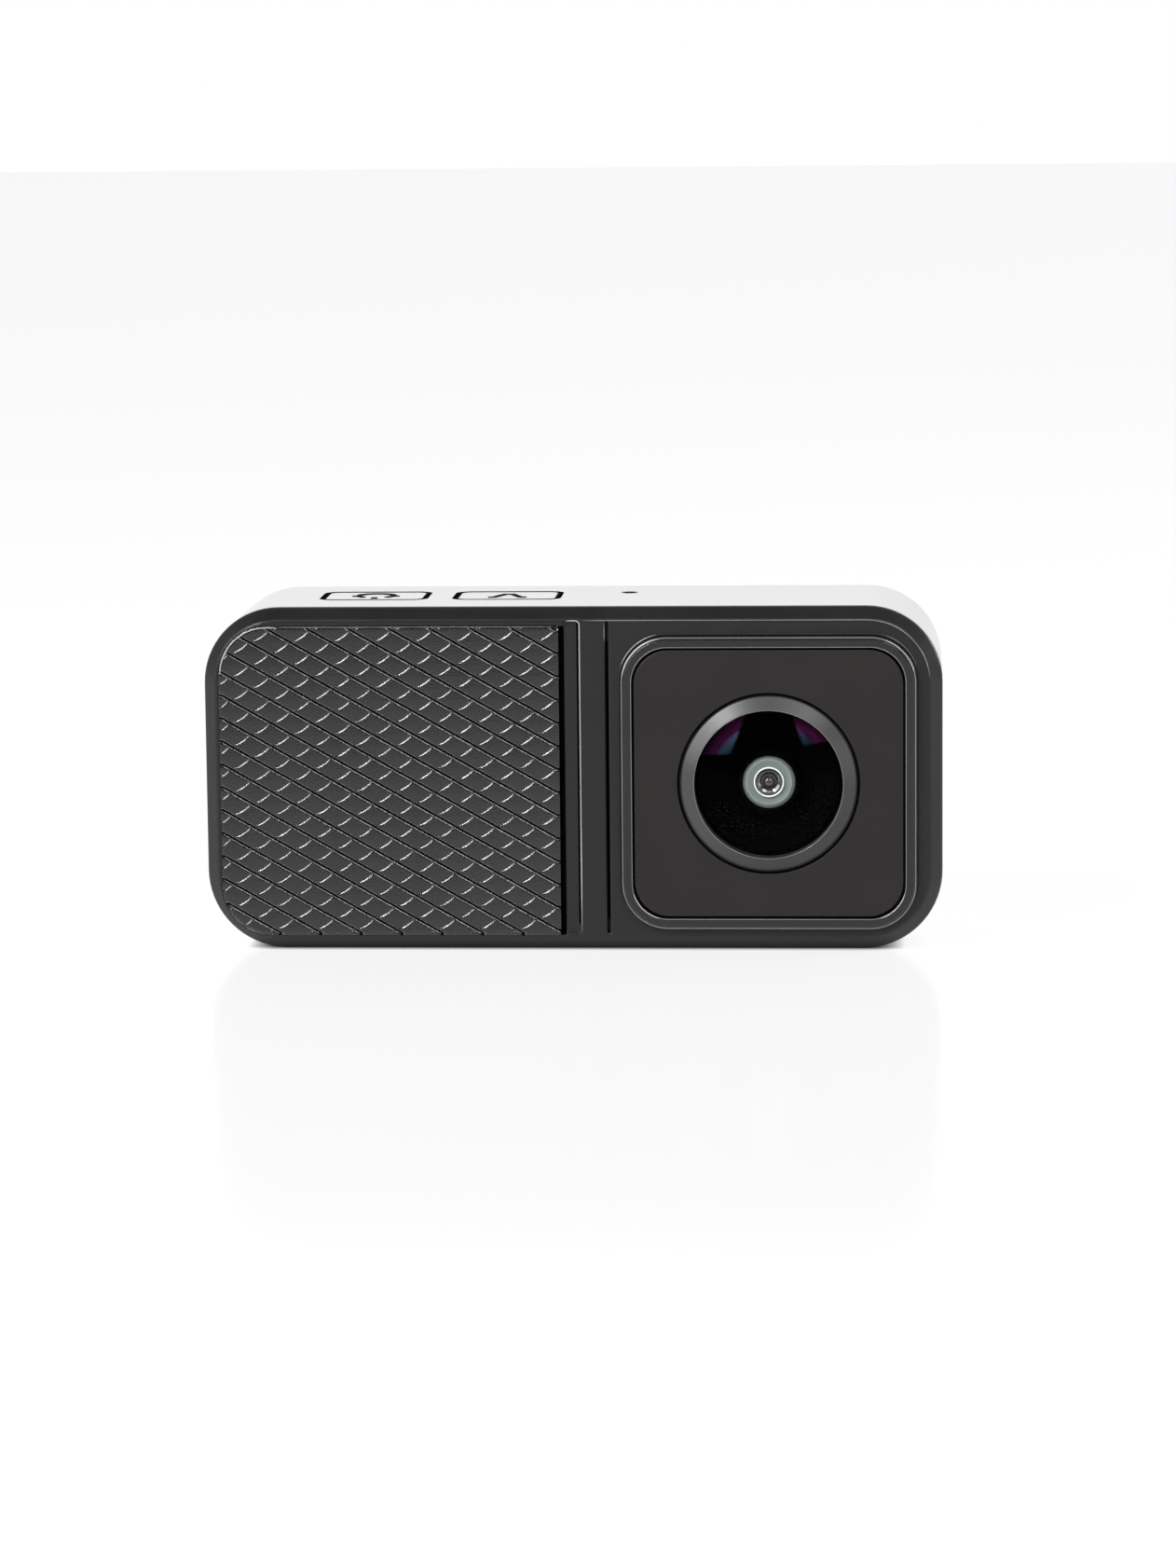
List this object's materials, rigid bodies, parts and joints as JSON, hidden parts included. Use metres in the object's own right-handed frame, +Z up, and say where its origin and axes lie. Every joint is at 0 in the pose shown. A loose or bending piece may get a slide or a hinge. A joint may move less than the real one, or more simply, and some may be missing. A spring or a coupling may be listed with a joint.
{
  "type": "action camera",
  "caption": "Rounded rectangular pocket action camera with a wide lens at one end, a textured grip at the other, two top buttons and a side port door.",
  "frame": {"origin": "under the middle of the bounding box, on the surface that the camera stands on", "axes": "+X to the right seen from the front, the lens looks along -Y, +Z up"},
  "size_m": [0.082, 0.0276, 0.0383],
  "materials": {
    "front_plastic": "matt fine-textured black moulding",
    "grip_rubber": "soft-touch black, pressed with a raised diamond pattern",
    "lens_trim": "satin dark grey",
    "plate_plastic": "smooth matt warm charcoal",
    "dark_metal": "satin anodised dark grey",
    "seal_rubber": "matt black",
    "optical_glass": "polished, anti-reflection coated",
    "barrel_black": "matt black, light-absorbing",
    "iris_grey": "pale grey-green, smooth",
    "iris_white": "bright white edge",
    "filter_glass": "polished, faint cyan",
    "sensor": "dark ceramic and silicon",
    "board_green": "green solder mask",
    "flex_amber": "amber film",
    "shell_white": "fine satin white moulding",
    "screw_steel": "turned steel",
    "insert_brass": "turned brass",
    "cap_white": "satin white",
    "can_steel": "tinned sheet",
    "mesh_grey": "fine woven mesh",
    "chip_black": "moulded epoxy",
    "pad_blue": "soft thermal pad",
    "plate_aluminium": "rolled sheet",
    "cell_foil": "laminated foil pouch",
    "foam_black": "open-cell foam",
    "screen_glass": "polished black cover glass",
    "panel_grey": "display module",
    "light_pipe": "frosted light guide",
    "card_black": "moulded card"
  },
  "bodies": {
    "camera": {"front_fascia": "front_plastic", "grip_panel": "grip_rubber", "lens_surround": "lens_trim", "lens_faceplate": "plate_plastic", "lens_ring": "dark_metal", "lens_seal": "seal_rubber", "front_lens": "optical_glass", "lens_barrel": "barrel_black", "lens_iris_plate": "iris_grey", "pupil_ring": "iris_white", "inner_lens": "optical_glass", "rear_lens_group": "optical_glass", "lens_holder": "barrel_black", "ir_filter": "filter_glass", "image_sensor": "sensor", "sensor_board": "board_green", "sensor_flex": "flex_amber", "lens_screws": "screw_steel", "rear_housing": "shell_white", "housing_gasket": "seal_rubber", "housing_screws": "screw_steel", "tripod_insert": "insert_brass", "tact_switches": "can_steel", "button_board": "board_green", "button_board_screws": "screw_steel", "microphone": "can_steel", "microphone_boot": "seal_rubber", "microphone_mesh": "mesh_grey", "speaker": "chip_black", "speaker_mesh": "mesh_grey", "antenna": "flex_amber", "main_board": "board_green", "main_board_screws": "screw_steel", "processor": "chip_black", "shield_can": "can_steel", "thermal_pad": "pad_blue", "heat_plate": "plate_aluminium", "battery": "cell_foil", "battery_foam": "foam_black", "display_glass": "screen_glass", "display_panel": "panel_grey", "status_light": "light_pipe", "hinge_pin": "screw_steel", "usb_socket": "can_steel", "card_socket": "can_steel"},
    "record_button": {"record_button": "cap_white"},
    "mode_button": {"mode_button": "cap_white"},
    "port_door": {"port_door": "shell_white", "door_seal": "seal_rubber"},
    "memory_card": {"memory_card": "card_black"}
  },
  "joints": [
    {"name": "record_press", "type": "slide", "parent": "camera", "child": "record_button", "axis": [0, 0, -1], "range_m": [0, 0.00035], "stiffness_N_per_m": 4000},
    {"name": "mode_press", "type": "slide", "parent": "camera", "child": "mode_button", "axis": [0, 0, -1], "range_m": [0, 0.00035], "stiffness_N_per_m": 4000},
    {"name": "port_door_hinge", "type": "hinge", "parent": "camera", "child": "port_door", "pos_m": [-0.0401, 0, 0.0105], "axis": [0, -1, 0], "range_deg": [0, 90]},
    {"name": "card_eject", "type": "slide", "parent": "camera", "child": "memory_card", "axis": [-1, 0, 0], "range_m": [0, 0.0018]}
  ]
}
